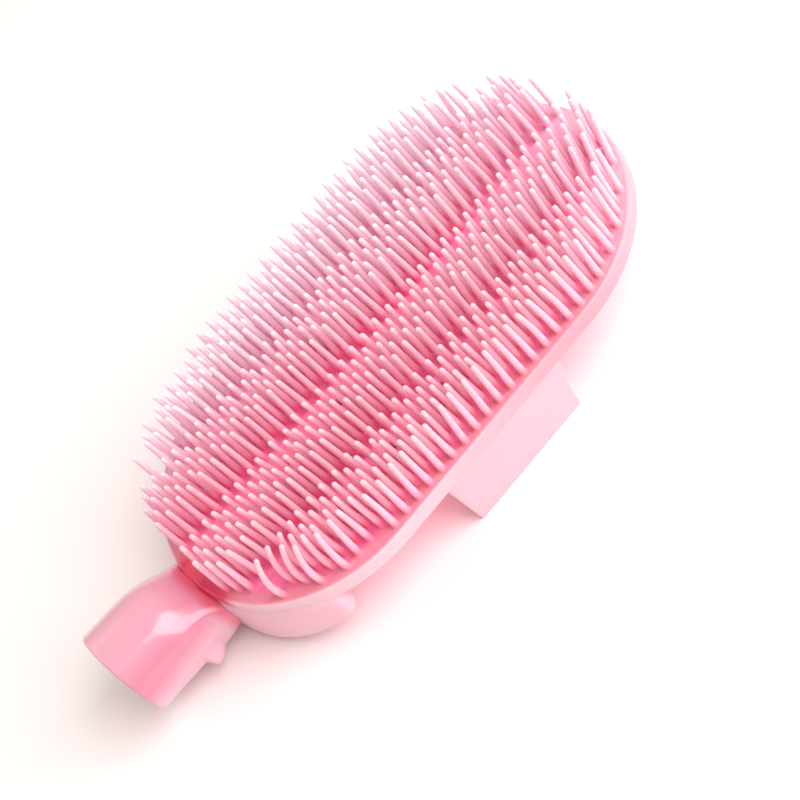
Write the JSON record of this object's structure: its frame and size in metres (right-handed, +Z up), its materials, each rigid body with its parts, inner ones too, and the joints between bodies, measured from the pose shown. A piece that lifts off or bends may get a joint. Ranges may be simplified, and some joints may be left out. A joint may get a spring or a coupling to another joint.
{
  "type": "silicone pet wash brush",
  "caption": "Soft oval pad of flexible bristles in rows, with a finger strap behind and a short neck that ends in a slip-on bell socket for a hose or tap.",
  "frame": {"origin": "centre of the strap's flat underside, straight below the centre of the pad", "axes": "+X along the pad, from the hose socket to the free round end; +Z up, out of the bristle face; the part is the same on both sides of Y = 0 apart from a small lug on the socket"},
  "size_m": [0.1319, 0.063, 0.0265],
  "materials": {
    "pad_silicone": "satin, slightly translucent pink silicone",
    "bristle_silicone": "soft translucent pink silicone, deeper between the bristles",
    "body_silicone": "satin pink silicone",
    "strap_silicone": "thin, pale, translucent silicone",
    "socket_silicone": "glossier pink silicone"
  },
  "bodies": {
    "pad": {"face_plate": "pad_silicone", "bristle_band_1": "bristle_silicone", "bristle_band_2": "bristle_silicone", "bristle_band_3": "bristle_silicone", "bristle_band_4": "bristle_silicone", "back_cover": "body_silicone", "inlet_funnel": "body_silicone", "strap_wall_front": "strap_silicone", "strap_wall_rear": "strap_silicone", "neck_tube": "socket_silicone"},
    "neck": {"neck_collar": "socket_silicone"},
    "socket": {"socket_throat": "socket_silicone", "hose_socket": "socket_silicone"},
    "strap": {"strap_span": "strap_silicone"}
  },
  "joints": [
    {"name": "neck_sway", "type": "hinge", "parent": "pad", "child": "neck", "pos_m": [-0.05849, 0, 0.01025], "axis": [0, 0, 1], "range_deg": [-20, 20], "stiffness_Nm_per_rad": 0.03, "deforming": ["neck_tube"]},
    {"name": "neck_bend", "type": "hinge", "parent": "neck", "child": "socket", "pos_m": [-0.06267, 0, 0.01062], "axis": [0, 1, 0], "range_deg": [-20, 20], "stiffness_Nm_per_rad": 0.03, "deforming": ["socket_throat"]},
    {"name": "strap_stretch", "type": "slide", "parent": "pad", "child": "strap", "axis": [0, 0, -1], "range_m": [0, 0.006], "stiffness_N_per_m": 600, "deforming": ["strap_wall_front", "strap_wall_rear"]}
  ]
}
